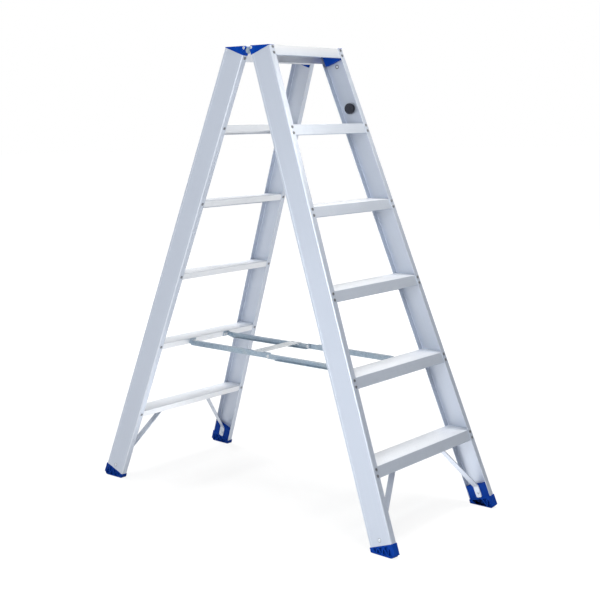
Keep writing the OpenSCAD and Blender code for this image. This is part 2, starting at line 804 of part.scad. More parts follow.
stile(true, true);  // front_left_stile
stile(true, false);  // front_right_stile
stile(false, true);  // rear_left_stile
stile(false, false);  // rear_right_stile
tread(true, 1);  // front_tread_1
tread(true, 2);  // front_tread_2
tread(true, 3);  // front_tread_3
tread(true, 4);  // front_tread_4
tread(true, 5);  // front_tread_5
tread(true, 6);  // front_tread_6
tread(false, 1);  // rear_tread_1
tread(false, 2);  // rear_tread_2
tread(false, 3);  // rear_tread_3
tread(false, 4);  // rear_tread_4
tread(false, 5);  // rear_tread_5
tread(false, 6);  // rear_tread_6
foot(true, true);  // front_left_foot
foot(true, false);  // front_right_foot
foot(false, true);  // rear_left_foot
foot(false, false);  // rear_right_foot
cap(true, true);  // front_left_cap
cap(true, false);  // front_right_cap
cap(false, true);  // rear_left_cap
cap(false, false);  // rear_right_cap
brace(true, true);  // front_left_brace
brace(true, false);  // front_right_brace
brace(false, true);  // rear_left_brace
brace(false, false);  // rear_right_brace
hinge_plate(true, true);  // front_left_hinge_plate
hinge_plate(true, false);  // front_right_hinge_plate
hinge_plate(false, true);  // rear_left_hinge_plate
hinge_plate(false, false);  // rear_right_hinge_plate
hinge_pin(true);  // left_hinge_pin
hinge_pin(false);  // right_hinge_pin
cap_rivets(true);  // front_cap_rivets
cap_rivets(false);  // rear_cap_rivets
tread_rivets(true);  // front_tread_rivets
tread_rivets(false);  // rear_tread_rivets
brace_rivets(true);  // front_brace_rivets
brace_rivets(false);  // rear_brace_rivets
bracket(true, true);  // front_left_bracket
bracket(true, false);  // front_right_bracket
bracket(false, true);  // rear_left_bracket
bracket(false, false);  // rear_right_bracket
bracket_rivets(true);  // front_bracket_rivets
bracket_rivets(false);  // rear_bracket_rivets
pivot_pins(true);  // front_pivot_pins
pivot_pins(false);  // rear_pivot_pins
bar(true, true);  // front_left_bar
bar(true, false);  // front_right_bar
bar(false, true);  // rear_left_bar
bar(false, false);  // rear_right_bar
cross_plate();
cross_plate_rivets();
middle_rivets(true);  // front_middle_rivets
middle_rivets(false);  // rear_middle_rivets
hanging_knob();
knob_screw();
stile_stud();
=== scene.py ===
"""Studio scene of a double-sided step ladder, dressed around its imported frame.

Each sub-assembly is a class. Its fields are sizes in metres, and its methods work out surfaces with numpy and
dress them with procedural finishes. X runs along the treads, Y is the climbing direction and Z is up.
"""

import json
import logging
import math
from dataclasses import dataclass, field
from enum import Enum
from functools import cached_property
from typing import Any, Iterable, Optional, Sequence, Union

import bmesh
import bpy
import numpy as np
from mathutils import Matrix, Vector

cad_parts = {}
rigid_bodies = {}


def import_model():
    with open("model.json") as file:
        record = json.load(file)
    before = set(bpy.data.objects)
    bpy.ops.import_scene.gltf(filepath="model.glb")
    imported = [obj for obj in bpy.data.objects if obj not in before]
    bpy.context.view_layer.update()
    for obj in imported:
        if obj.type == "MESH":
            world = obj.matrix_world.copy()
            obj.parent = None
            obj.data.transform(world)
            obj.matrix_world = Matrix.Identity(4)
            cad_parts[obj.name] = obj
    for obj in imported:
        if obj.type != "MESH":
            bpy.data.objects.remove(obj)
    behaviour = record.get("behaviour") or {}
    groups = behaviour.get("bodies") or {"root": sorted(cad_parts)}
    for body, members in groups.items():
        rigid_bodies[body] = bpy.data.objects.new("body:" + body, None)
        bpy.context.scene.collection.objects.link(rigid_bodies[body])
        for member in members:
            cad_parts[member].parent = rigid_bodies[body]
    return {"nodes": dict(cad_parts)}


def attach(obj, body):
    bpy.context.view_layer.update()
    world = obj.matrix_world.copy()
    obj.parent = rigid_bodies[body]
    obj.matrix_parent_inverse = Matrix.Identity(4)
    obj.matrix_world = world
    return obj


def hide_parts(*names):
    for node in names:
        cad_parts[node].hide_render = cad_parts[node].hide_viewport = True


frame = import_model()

LOG = logging.getLogger("step_ladder")
EDGE_ATTRIBUTE = "edge"
UV_NAME = "lay"
SHARP_DEG = 38.0
ARC_SHARE = 0.48
ALONG_X = 0.9
FLAT_WEIGHT = 100
Pair = tuple[float, float]
Triple = tuple[float, float, float]
Colour = Triple
Array = np.ndarray
Scalars = Union[float, Array]


class Signed(Enum):
    """A pair of opposite places, the first at -1 and the second at 1."""

    @property
    def sign(self) -> float:
        """Direction of the member from the ladder's middle."""
        return -1.0 if self is list(type(self))[0] else 1.0


class Side(Signed):
    """The two sections of the ladder, with their sign along Y."""

    FRONT = "front"
    REAR = "rear"

    @property
    def body(self) -> str:
        """Name of the body that the section's pieces ride on."""
        return f"{self.value}_section"


class Hand(Signed):
    """The two stiles of a section, with their sign along X."""

    LEFT = "left"
    RIGHT = "right"


@dataclass(frozen=True)
class LadderFrame:
    """Main sizes of the ladder, the same as in the part's source."""

    first_tread_h: float = 0.240
    tread_pitch: float = 0.240
    tread_count: int = 6
    spreader_tread: int = 2
    lean: float = math.radians(20.2)
    top_width: float = 0.350
    bottom_width: float = 0.544
    stile_depth: float = 0.0805
    stile_flange: float = 0.021
    flange_wall: float = 0.0022
    web_wall: float = 0.0026
    hinge_gap: float = 0.0112
    hinge_drop: float = 0.0136
    stile_drop: float = 0.0192
    sole_h: float = 0.013
    lip_fit: float = 0.0001
    tread_end_fit: float = 0.0004
    tread_plate: float = 0.0032

    @cached_property
    def hinge_h(self) -> float:
        """Height of the hinge axis."""
        return self.tread_h(self.tread_count) - self.hinge_drop

    @cached_property
    def stile_run(self) -> float:
        """Length of a stile along the slope."""
        rise = self.hinge_h + self.hinge_gap * math.sin(self.lean) - self.sole_h
        return rise / math.cos(self.lean) - self.stile_drop

    @cached_property
    def flare(self) -> float:
        """Angle by which a stile runs outwards on its way down."""
        return math.atan((self.bottom_width - self.top_width) / 2 / self.stile_run)

    @cached_property
    def stile_len(self) -> float:
        """True length of a stile."""
        return self.stile_run / math.cos(self.flare)

    @cached_property
    def inner_lip_y(self) -> float:
        """Distance from the hinge axis across the section to the treads' inner lips."""
        return self.hinge_gap + self.flange_wall + self.lip_fit

    @cached_property
    def outer_lip_y(self) -> float:
        """Distance from the hinge axis across the section to the treads' outer lips."""
        return self.hinge_gap + self.stile_depth - self.flange_wall - self.lip_fit

    def tread_h(self, number: int) -> float:
        """Height of a tread's top above the floor."""
        return self.first_tread_h + self.tread_pitch * (number - 1)

    def section_z(self, height: float, across: float) -> float:
        """Place along the slope of a height above the floor."""
        return (height - self.hinge_h - across * math.sin(self.lean)) / math.cos(self.lean)

    def lean_y(self, across: Scalars, height: Scalars) -> Scalars:
        """Place along Y of a face of the section at a height above the floor."""
        return across / math.cos(self.lean) + (self.hinge_h - height) * math.tan(self.lean)

    def stile_z(self, height: float, y: float, x: float) -> float:
        """Place along a stile of a height above the floor."""
        along = self.section_z(height, self.hinge_gap + y) + self.stile_drop
        return (along - x * math.sin(self.flare)) / math.cos(self.flare)

    def web_x(self, along: Scalars) -> Scalars:
        """Outer face of a web at a place along the slope."""
        return self.top_width / 2 - (self.stile_drop + along) * math.tan(self.flare)

    def from_section(self, points: Array, side: Side, hand: Hand = Hand.RIGHT) -> Array:
        """Turns points of a section's own frame into the ladder's frame.

        Args:
            points: Points with Y across the section and Z along its slope, from the hinge axis.
            side: Section that the points belong to.
            hand: Stile that the points belong to.

        Returns:
            The points, leaned by the lean angle about the hinge axis and mirrored to their corner.
        """
        c, s = math.cos(self.lean), math.sin(self.lean)
        x, y, z = np.moveaxis(points, -1, 0)
        return np.stack([x * hand.sign, (y * c - z * s) * side.sign, y * s + z * c + self.hinge_h], -1)

    def from_stile(self, points: Array, side: Side, hand: Hand) -> Array:
        """Turns points of a stile's own frame into the ladder's frame.

        Args:
            points: Points from the stile's top end, with X outwards, Y across the web and Z along the stile.
            side: Section of the stile.
            hand: Hand of the stile.

        Returns:
            The points, flared, set on the section and leaned with it.
        """
        c, s = math.cos(self.flare), math.sin(self.flare)
        x, y, z = np.moveaxis(points, -1, 0)
        placed = np.stack([
            x * c - z * s + self.top_width / 2,
            y + self.hinge_gap,
            x * s + z * c - self.stile_drop], -1)
        return self.from_section(placed, side, hand)

    def stile_lines(self, points: Array, ways: Array, side: Side, hand: Hand) -> tuple[Array, Array]:
        """Points of a stile's own frame, and directions from them, in the ladder's frame."""
        starts = self.from_stile(points, side, hand)
        return starts, self.from_stile(points + ways, side, hand) - starts


LADDER = LadderFrame()


@dataclass
class Shell:
    """A closed surface: its points, and groups of faces with the texture place of each face corner."""

    points: Array
    groups: list[tuple[Array, Array]]
    edge: Array = field(default_factory=lambda: np.zeros(0))

    def outwards(self) -> "Shell":
        """Shell whose faces look outwards, found from the sign of its volume.

        Returns:
            The shell itself, or a copy with each face's corners in reverse order.
        """
        volume = 0.0
        for faces, _ in self.groups:
            p = self.points[faces]
            fans = np.cross(p[:, 1:-1], p[:, 2:])
            volume += float(np.einsum("fd,fkd->", p[:, 0], fans))
        if volume >= 0:
            return self
        turned = [(faces[:, ::-1], uv[:, ::-1]) for faces, uv in self.groups]
        return Shell(self.points, turned, self.edge)


def rounded(points: Array, radius: Scalars, steps: int, closed: bool = True) -> tuple[Array, Array]:
    """Rounds the corners of a line: a rational curve of weight sin(half angle) gives each a true arc.

    Args:
        points: Corners of the line.
        radius: Radius of all corners or of each.
        steps: Pieces of each arc.
        closed: Whether the line returns to its start.

    Returns:
        The rounded line, and for each point a mark that is 1 in the middle of an arc and 0 at its ends.
    """
    back, ahead = np.roll(points, 1, 0) - points, np.roll(points, -1, 0) - points
    back_len, ahead_len = np.linalg.norm(back, axis=1), np.linalg.norm(ahead, axis=1)
    back, ahead = back / back_len[:, None], ahead / ahead_len[:, None]
    half = np.arccos(np.clip((back * ahead).sum(1), -1, 1)) / 2
    longest = ARC_SHARE * np.minimum(back_len, ahead_len)
    cut = np.minimum(np.broadcast_to(radius, len(points)) / np.tan(half), longest)
    t = np.linspace(0, 1, steps + 1)[None, :, None]
    weight = np.sin(half)[:, None, None]
    start = (points + back * cut[:, None])[:, None]
    end = (points + ahead * cut[:, None])[:, None]
    top = (1 - t) ** 2 * start + 2 * weight * t * (1 - t) * points[:, None] + t ** 2 * end
    arcs = top / ((1 - t) ** 2 + 2 * weight * t * (1 - t) + t ** 2)
    mark = np.broadcast_to((1 - np.abs(2 * t[..., 0] - 1)), arcs.shape[:2])
    if closed:
        return arcs.reshape(-1, points.shape[1]), mark.ravel()
    inner = arcs[1:-1].reshape(-1, points.shape[1])
    line = np.concatenate([points[:1], inner, points[-1:]])
    return line, np.concatenate([[0.0], mark[1:-1].ravel(), [0.0]])


def run_along(line: Array) -> Array:
    """Distance along a line at each of its points."""
    return np.concatenate([[0.0], np.cumsum(np.linalg.norm(np.diff(line, axis=0), axis=1))])


def circle(sides: int) -> Array:
    """Points of a unit circle."""
    angle = np.linspace(0, 2 * math.pi, sides, endpoint=False)
    return np.stack([np.cos(angle), np.sin(angle)], -1)


def box_rings(low: Triple, high: Triple) -> Array:
    """Lower and upper ring of a box between two corners."""
    x, y = np.array([low, high])[[0, 1, 1, 0], 0], np.array([low, high])[[0, 0, 1, 1], 1]
    return np.stack([np.stack([x, y, np.full(4, z)], -1) for z in (low[2], high[2])])


def grid_quads(rings: int, around: int, closed: bool = False) -> Array:
    """Faces between rings of points, where point j of ring i has the number i around + j.

    Args:
        rings: Number of rings.
        around: Points of a ring.
        closed: Whether the last ring is joined to the first.

    Returns:
        Four point numbers for each face.
    """
    i, j = np.indices((rings if closed else rings - 1, around)).reshape(2, -1)
    ahead, after = (i + 1) % rings, (j + 1) % around
    return np.stack([i, i, ahead, ahead], -1) * around + np.stack([j, after, after, j], -1)


def loft(rings: Array, mark: Optional[Array] = None) -> Shell:
    """Joins closed rings of points into one skin with flat ends.

    U is the way round the first ring, and V the way along the rings' middles.

    Args:
        rings: Rings of points, all with as many points.
        mark: Edge mark of the points of a ring.

    Returns:
        The closed shell.
    """
    count, around = rings.shape[:2]
    i, j = np.indices((count - 1, around)).reshape(2, -1)
    u = run_along(np.concatenate([rings[0], rings[0][:1]]))
    v = run_along(rings.mean(1))
    lay = np.stack([np.stack([u[j + a], v[i + b]], -1) for a, b in ((0, 0), (1, 0), (1, 1), (0, 1))], -2)
    ring = np.arange(around)
    ends = np.stack([ring[::-1], (count - 1) * around + ring])
    end_lay = np.stack([np.stack([u[:-1][::-1], np.zeros(around)], -1),
                        np.stack([u[:-1], np.full(around, v[-1])], -1)])
    edge = np.tile(np.zeros(around) if mark is None else mark, count)
    return Shell(rings.reshape(-1, 3), [(grid_quads(count, around), lay), (ends, end_lay)], edge)


def turned_shell(profile: Array, centres: Array, axes: Array, around: int = 32) -> Shell:
    """Turned copies: profile point (r, h) becomes centre + h axis + r (cos a, sin a) across the axis.

    Args:
        profile: Radius and height of each point, round a ring or from pole to pole of a pin.
        centres: Origin of each copy.
        axes: Unit axis of each copy.
        around: Points around the axis.

    Returns:
        One shell that holds all the copies.
    """
    pin = profile[0, 0] == 0
    body = profile[1:-1] if pin else profile
    helper = np.where(np.abs(axes[:, :1]) < ALONG_X, [[1.0, 0, 0]], [[0, 1.0, 0]])
    across = np.cross(axes, helper)
    across /= np.linalg.norm(across, axis=1, keepdims=True)
    turn = circle(around)
    spoke = turn[:, :1] * across[:, None] + turn[:, 1:] * np.cross(axes, across)[:, None]
    rings = (centres[:, None, None] + body[:, None, 1:] * axes[:, None, None]
             + body[:, None, :1] * spoke[:, None])
    poles = (centres[:, None] + profile[[0, -1], 1:] * axes[:, None])[:, :2 if pin else 0]
    points = np.concatenate([rings.reshape(len(centres), -1, 3), poles], 1)
    base = (np.arange(len(centres)) * points.shape[1])[:, None, None]
    faces = [grid_quads(len(body), around, closed=not pin)]
    if pin:
        ring, pole = np.arange(around), np.full(around, points.shape[1] - 1)
        after, last = (ring + 1) % around, (len(body) - 1) * around
        faces.append(np.concatenate([np.stack([pole - 1, after, ring], -1),
                                     np.stack([pole, last + ring, last + after], -1)]))
    groups = [(group + base).reshape(-1, group.shape[1]) for group in faces]
    return Shell(points.reshape(-1, 3), [(group, np.zeros((*group.shape, 2))) for group in groups])


def shade(mesh: bpy.types.Mesh, sharp_deg: float = SHARP_DEG) -> None:
    """Shades a mesh smooth, apart from its sharp edges.

    Args:
        mesh: Mesh to shade.
        sharp_deg: Least angle of a sharp edge, in degrees.
    """
    mesh.shade_smooth()
    mesh.set_sharp_from_angle(angle=math.radians(sharp_deg))
    mesh.update()


def level_flats(piece: bpy.types.Object) -> None:
    """Weights a piece's normals by face area, so that flats between rounded edges shade flat."""
    modifier = piece.modifiers.new("level_flats", "WEIGHTED_NORMAL")
    modifier.mode, modifier.weight, modifier.keep_sharp = "FACE_AREA", FLAT_WEIGHT, True


def add_object(name: str, data: bpy.types.ID) -> bpy.types.Object:
    """Links an object at the origin.

    Args:
        name: Name of the object.
        data: Mesh, lamp or camera that it shows.

    Returns:
        The object.
    """
    made = bpy.data.objects.new(name, data)
    bpy.context.scene.collection.objects.link(made)
    return made


def add_shell(name: str, shell: Shell) -> bpy.types.Object:
    """Adds an object that shows a shell, with its texture places and its edge mark.

    Args:
        name: Name of the object.
        shell: Surface to use.

    Returns:
        The object.
    """
    shell = shell.outwards()
    mesh = bpy.data.meshes.new(name)
    faces = [face for group, _ in shell.groups for face in group.tolist()]
    mesh.from_pydata(shell.points.tolist(), [], faces)
    lay = np.concatenate([uv.reshape(-1) for _, uv in shell.groups])
    mesh.uv_layers.new(name=UV_NAME).data.foreach_set("uv", lay.astype(np.float32))
    if len(shell.edge) == len(shell.points):
        mark = mesh.attributes.new(EDGE_ATTRIBUTE, "FLOAT", "POINT")
        mark.data.foreach_set("value", shell.edge.astype(np.float32))
    shade(mesh)
    return add_object(name, mesh)


def cut_out(piece: bpy.types.Object, cutters: Iterable[Shell]) -> None:
    """Cuts shells out of a piece with Boolean modifiers that are applied at once.

    Args:
        piece: Object that loses the shells' space.
        cutters: Shells to take away.
    """
    for shell in cutters:
        tool = add_shell("cutter", shell)
        modifier = piece.modifiers.new("cut", "BOOLEAN")
        modifier.operation, modifier.solver, modifier.object = "DIFFERENCE", "EXACT", tool
        evaluated = piece.evaluated_get(bpy.context.evaluated_depsgraph_get())
        mesh = bpy.data.meshes.new_from_object(evaluated)
        piece.modifiers.clear()
        piece.data = mesh
        bpy.data.objects.remove(tool)
    shade(piece.data)


class Socket:
    """An output of a shader node. Arithmetic on it adds Math nodes."""

    def __init__(self, graph: "Graph", output: bpy.types.NodeSocket) -> None:
        """Keeps the graph that the output belongs to."""
        self.graph = graph
        self.output = output

    def _math(self, operation: str, first: "Value", second: "Value") -> "Socket":
        """Adds one Math node."""
        return self.graph.node("ShaderNodeMath", {"operation": operation}, {0: first, 1: second})

    def __add__(self, other: "Value") -> "Socket":
        """Sum."""
        return self._math("ADD", self, other)

    def __sub__(self, other: "Value") -> "Socket":
        """Difference."""
        return self._math("SUBTRACT", self, other)

    def __rsub__(self, other: "Value") -> "Socket":
        """Difference with the number first."""
        return self._math("SUBTRACT", other, self)

    def __mul__(self, other: "Value") -> "Socket":
        """Product."""
        return self._math("MULTIPLY", self, other)

    __radd__, __rmul__ = __add__, __mul__

    def larger(self, other: "Value") -> "Socket":
        """The larger of two values."""
        return self._math("MAXIMUM", self, other)

    def ramp(self, low: float, high: float) -> "Socket":
        """Smooth rise from 0 at one value to 1 at another."""
        return self.graph.node("ShaderNodeMapRange", {"interpolation_type": "SMOOTHSTEP"},
                               {"Value": self, "From Min": low, "From Max": high})


Value = Union[float, Socket]


class Graph:
    """A node tree that is built by calls."""

    def __init__(self, tree: bpy.types.NodeTree) -> None:
        """Empties the tree."""
        tree.nodes.clear()
        self.tree = tree

    def node(self, kind: str, settings: Optional[dict[str, Any]] = None,
             inputs: Optional[dict[Union[int, str], Any]] = None, out: Union[int, str] = 0) -> Socket:
        """Adds a node.

        Args:
            kind: Type of the node.
            settings: Properties of the node, set first.
            inputs: Values or links of its sockets.
            out: Output to return.

        Returns:
            The chosen output.
        """
        made = self.tree.nodes.new(kind)
        for key, value in (settings or {}).items():
            setattr(made, key, value)
        for key, value in (inputs or {}).items():
            if isinstance(value, Socket):
                self.tree.links.new(value.output, made.inputs[key])
            else:
                made.inputs[key].default_value = value
        return Socket(self, made.outputs[out]) if made.outputs else Socket(self, None)

    def noise(self, vector: Socket, scale: float, detail: float) -> Socket:
        """Noise between 0 and 1."""
        return self.node("ShaderNodeTexNoise", None, {"Vector": vector, "Scale": scale, "Detail": detail})

    def stretched(self, vector: Socket, scale: Triple, detail: float) -> Socket:
        """Noise between 0 and 1 with its own scale along each axis."""
        scaled = self.node("ShaderNodeMapping", None, {"Vector": vector, "Scale": scale})
        return self.noise(scaled, 1.0, detail)

    def objects(self) -> Socket:
        """The object's own coordinates, in metres."""
        return self.node("ShaderNodeTexCoord", out="Object")

    def lay(self) -> Socket:
        """The piece's own texture places, in metres."""
        return self.node("ShaderNodeUVMap", {"uv_map": UV_NAME})

    def edge(self) -> Socket:
        """The piece's edge mark."""
        return self.node("ShaderNodeAttribute", {"attribute_name": EDGE_ATTRIBUTE}, out="Fac")

    def blend(self, factor: Value, first: Union[Colour, Socket], second: Union[Colour, Socket]) -> Socket:
        """Mixes two colours."""
        rgba = [c if isinstance(c, Socket) else (*c, 1.0) for c in (first, second)]
        return self.node("ShaderNodeMix", {"data_type": "RGBA"}, {0: factor, 6: rgba[0], 7: rgba[1]}, out=2)

    def bump(self, height: Socket, distance: float, strength: float) -> Socket:
        """Normal that a height in 0 to 1 tilts."""
        inputs = {"Height": height, "Distance": distance, "Strength": strength}
        return self.node("ShaderNodeBump", None, inputs)

    def principled(self, inputs: dict[str, Any]) -> None:
        """Ends the graph in a Principled shader."""
        self.surface(self.node("ShaderNodeBsdfPrincipled", None, inputs))

    def surface(self, shader: Socket) -> None:
        """Links a shader to the output."""
        kind = "World" if self.tree.id_data.id_type == "WORLD" else "Material"
        self.node(f"ShaderNodeOutput{kind}", None, {"Surface": shader})


class Finish:
    """A surface finish, whose material is made once."""

    _made: dict[str, bpy.types.Material] = {}

    def material(self) -> bpy.types.Material:
        """The finish's material.

        Returns:
            The material, built on the first call.
        """
        key = repr(self)
        if key not in Finish._made:
            made = bpy.data.materials.new(type(self).__name__)
            made.use_nodes = True
            self.build(Graph(made.node_tree))
            Finish._made[key] = made
        return Finish._made[key]

    def build(self, graph: Graph) -> None:
        """Adds the finish's nodes to an empty graph."""
        raise NotImplementedError


@dataclass(frozen=True)
class ExtrudedAluminium(Finish):
    """Satin extruded aluminium with die lines along the piece, soft blotches and a painted highlight on its
    rounded edges.
    """

    dark: Colour = (0.50, 0.545, 0.63)
    pale: Colour = (0.60, 0.645, 0.73)
    # Colour of the painted highlight on the rounded edges.
    painted_edge_highlight: Colour = (0.80, 0.83, 0.88)
    metallic: float = 0.42
    roughness: float = 0.36
    line_scale: Triple = (1500.0, 2.5, 1.0)
    broad_scale: Triple = (150.0, 0.7, 1.0)
    blotch_scale: float = 7.0
    bump: Pair = (0.00025, 0.22)

    def build(self, graph: Graph) -> None:
        """Adds the finish's nodes to an empty graph.

        Args:
            graph: Graph of the new material.
        """
        lay = graph.lay()
        lines = graph.stretched(lay, self.line_scale, 3.0)
        broad = graph.stretched(lay, self.broad_scale, 2.0)
        blotch = graph.noise(graph.objects(), self.blotch_scale, 4.0)
        edge = graph.edge()
        body = graph.blend(lines * 0.45 + broad * 0.25 + blotch * 0.3, self.dark, self.pale)
        graph.principled({
            # Painted highlight: the edge mark blends the rounded edges towards a bright colour.
            "Base Color": graph.blend(edge * 0.55, body, self.painted_edge_highlight),
            "Metallic": self.metallic,
            "Roughness": self.roughness + blotch * 0.12 - edge * 0.05 - lines * 0.06,
            "Normal": graph.bump(lines * 0.6 + broad * 0.4, *self.bump)})


@dataclass(frozen=True)
class TreadAluminium(Finish):
    """Bright extruded aluminium whose die lines run along the tread, with painted shade, darker and bluer, on
    the outer lip and its bend.
    """

    dark: Colour = (0.70, 0.72, 0.755)
    pale: Colour = (0.82, 0.84, 0.87)
    # Colour of the painted shade on the outer lip, its bend and its return.
    dull: Colour = (0.37, 0.44, 0.56)
    metallic: float = 0.45
    roughness: float = 0.36
    line_scale: Triple = (3.0, 900.0, 900.0)
    broad_scale: Triple = (1.2, 120.0, 120.0)
    scuff_scale: Triple = (40.0, 14.0, 14.0)
    scuff_from: Pair = (0.52, 0.72)
    bump: Pair = (0.0003, 0.25)

    def build(self, graph: Graph) -> None:
        """Adds the finish's nodes to an empty graph.

        Args:
            graph: Graph of the new material.
        """
        place = graph.objects()
        lines = graph.stretched(place, self.line_scale, 3.0)
        broad = graph.stretched(place, self.broad_scale, 2.0)
        scuff = graph.stretched(place, self.scuff_scale, 5.0).ramp(*self.scuff_from)
        edge = graph.edge()
        body = graph.blend(lines * 0.5 + broad * 0.5, self.dark, self.pale)
        worn = graph.blend(scuff * 0.18, body, self.dark)
        graph.principled({
            # Painted shade: the edge mark blends the outer lip, and its bend more strongly, towards the dark
            # bluish colour.
            "Base Color": graph.blend(edge * 0.5, worn, self.dull),
            "Metallic": self.metallic,
            "Roughness": self.roughness + scuff * 0.14 + edge * 0.08,
            "Normal": graph.bump(lines * 0.7 + broad * 0.3, *self.bump)})


@dataclass(frozen=True)
class ZincSteel(Finish):
    """Zinc-plated steel: fine crystals, faint bluish and straw tints, and rolling lines along the ladder."""

    dark: Colour = (0.22, 0.29, 0.37)
    pale: Colour = (0.41, 0.50, 0.58)
    straw: Colour = (0.48, 0.51, 0.50)
    metallic: float = 0.55
    roughness: float = 0.3
    crystal_scale: float = 260.0
    rolled_scale: Triple = (900.0, 12.0, 900.0)
    tint_scale: float = 24.0
    tint_from: Pair = (0.45, 0.75)
    bump: Pair = (0.0002, 0.2)

    def build(self, graph: Graph) -> None:
        """Adds the finish's nodes to an empty graph.

        Args:
            graph: Graph of the new material.
        """
        place = graph.objects()
        cells = {"Vector": place, "Scale": self.crystal_scale}
        crystals = graph.node("ShaderNodeTexVoronoi", None, cells, "Color")
        grain = graph.node("ShaderNodeSeparateColor", None, {0: crystals})
        rolled = graph.stretched(place, self.rolled_scale, 3.0)
        tint = graph.noise(place, self.tint_scale, 3.0).ramp(*self.tint_from)
        body = graph.blend(grain * 0.5 + rolled * 0.5, self.dark, self.pale)
        graph.principled({
            "Base Color": graph.blend(tint * 0.35, body, self.straw),
            "Metallic": self.metallic,
            "Roughness": self.roughness + grain * 0.12,
            "Normal": graph.bump(rolled * 0.7 + grain * 0.3, *self.bump)})


@dataclass(frozen=True)
class MouldedPlastic(Finish):
    """Moulded plastic with a spark-eroded grain, slight mottling and pale scuffs."""

    deep: Colour = (0.0012, 0.030, 0.22)
    clear: Colour = (0.0020, 0.052, 0.37)
    scuffed: Colour = (0.012, 0.095, 0.46)
    roughness: float = 0.48
    specular: float = 0.08
    grain_scale: float = 1400.0
    mottle_scale: float = 35.0
    scuff_scale: Triple = (120.0, 60.0, 25.0)
    scuff_from: Pair = (0.56, 0.76)
    bump: Pair = (0.0002, 0.25)

    def build(self, graph: Graph) -> None:
        """Adds the finish's nodes to an empty graph.

        Args:
            graph: Graph of the new material.
        """
        place = graph.objects()
        mottle = graph.noise(place, self.mottle_scale, 3.0)
        grain = graph.noise(place, self.grain_scale, 2.0)
        scuff = graph.stretched(place, self.scuff_scale, 5.0).ramp(*self.scuff_from)
        body = graph.blend(mottle, self.deep, self.clear)
        graph.principled({
            "Base Color": graph.blend(scuff * 0.3, body, self.scuffed),
            "Specular IOR Level": self.specular,
            "Roughness": self.roughness + grain * 0.14 + scuff * 0.12,
            "Normal": graph.bump(grain, *self.bump)})


@dataclass(frozen=True)
class PressedMetal(Finish):
    """Metal of a rivet or pin with tool marks and a slight tarnish."""

    dark: Colour = (0.16, 0.17, 0.19)
    pale: Colour = (0.32, 0.33, 0.35)
    metallic: float = 0.7
    roughness: float = 0.34
    mark_scale: float = 700.0
    tarnish_scale: float = 160.0
    bump: Pair = (0.0001, 0.2)

    def build(self, graph: Graph) -> None:
        """Adds the finish's nodes to an empty graph.

        Args:
            graph: Graph of the new material.
        """
        place = graph.objects()
        marks = graph.noise(place, self.mark_scale, 4.0)
        tarnish = graph.noise(place, self.tarnish_scale, 3.0)
        graph.principled({
            "Base Color": graph.blend(tarnish * 0.7 + marks * 0.3, self.dark, self.pale),
            "Metallic": self.metallic,
            "Roughness": self.roughness + marks * 0.15,
            "Normal": graph.bump(marks, *self.bump)})


STILE_FINISH = ExtrudedAluminium()
TREAD_FINISH = TreadAluminium()
STEEL_FINISH = ZincSteel()
PLATE_FINISH = ZincSteel((0.60, 0.64, 0.67), (0.72, 0.75, 0.77), (0.74, 0.74, 0.71), 0.35, 0.36)
BLUE_FINISH = MouldedPlastic()
# Brighter copy of the feet's blue plastic: painted light on the caps at the top.
LIT_BLUE_FINISH = MouldedPlastic((0.0012, 0.040, 0.30), (0.0020, 0.066, 0.48), (0.012, 0.11, 0.54))
BLACK_FINISH = MouldedPlastic((0.016, 0.018, 0.025), (0.040, 0.043, 0.058), (0.08, 0.085, 0.10), 0.5, 0.3)
DARK_RIVET = PressedMetal()
PALE_RIVET = PressedMetal((0.52, 0.54, 0.57), (0.68, 0.70, 0.73), 0.3)
STILE_RIVET = PressedMetal((0.62, 0.66, 0.71), (0.76, 0.79, 0.84), 0.25)
# Near-black metal: the mandrel pins, darkened to paint the shade in the rivets' holes, and the painted-shade
# ring under the stud.
PIN_AND_SHADE_BLACK = PressedMetal((0.02, 0.02, 0.022), (0.06, 0.06, 0.065), 0.5, 0.45)


def dress_node(name: str, finish: Finish) -> None:
    """Gives a node of the frame a finish through its object's material slots.

    Args:
        name: Node of the frame.
        finish: Finish to show.
    """
    node = frame["nodes"][name]
    if not node.material_slots:
        node.data.materials.append(finish.material())
    for slot in node.material_slots:
        slot.material = finish.material()
    LOG.info("node %s has %s", name, type(finish).__name__)


def settle(piece: bpy.types.Object, body: str, nodes: Sequence[str], finish: Finish) -> None:
    """Finishes a piece: its material, the body that carries it and the nodes that it stands for.

    Args:
        piece: Object in place.
        body: Body that the piece rides on.
        nodes: Nodes of the frame that the piece replaces.
        finish: Finish of the piece.
    """
    piece.data.materials.clear()
    piece.data.materials.append(finish.material())
    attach(piece, body)
    if nodes:
        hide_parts(*nodes)
    LOG.info("piece %s rides on %s", piece.name, body)


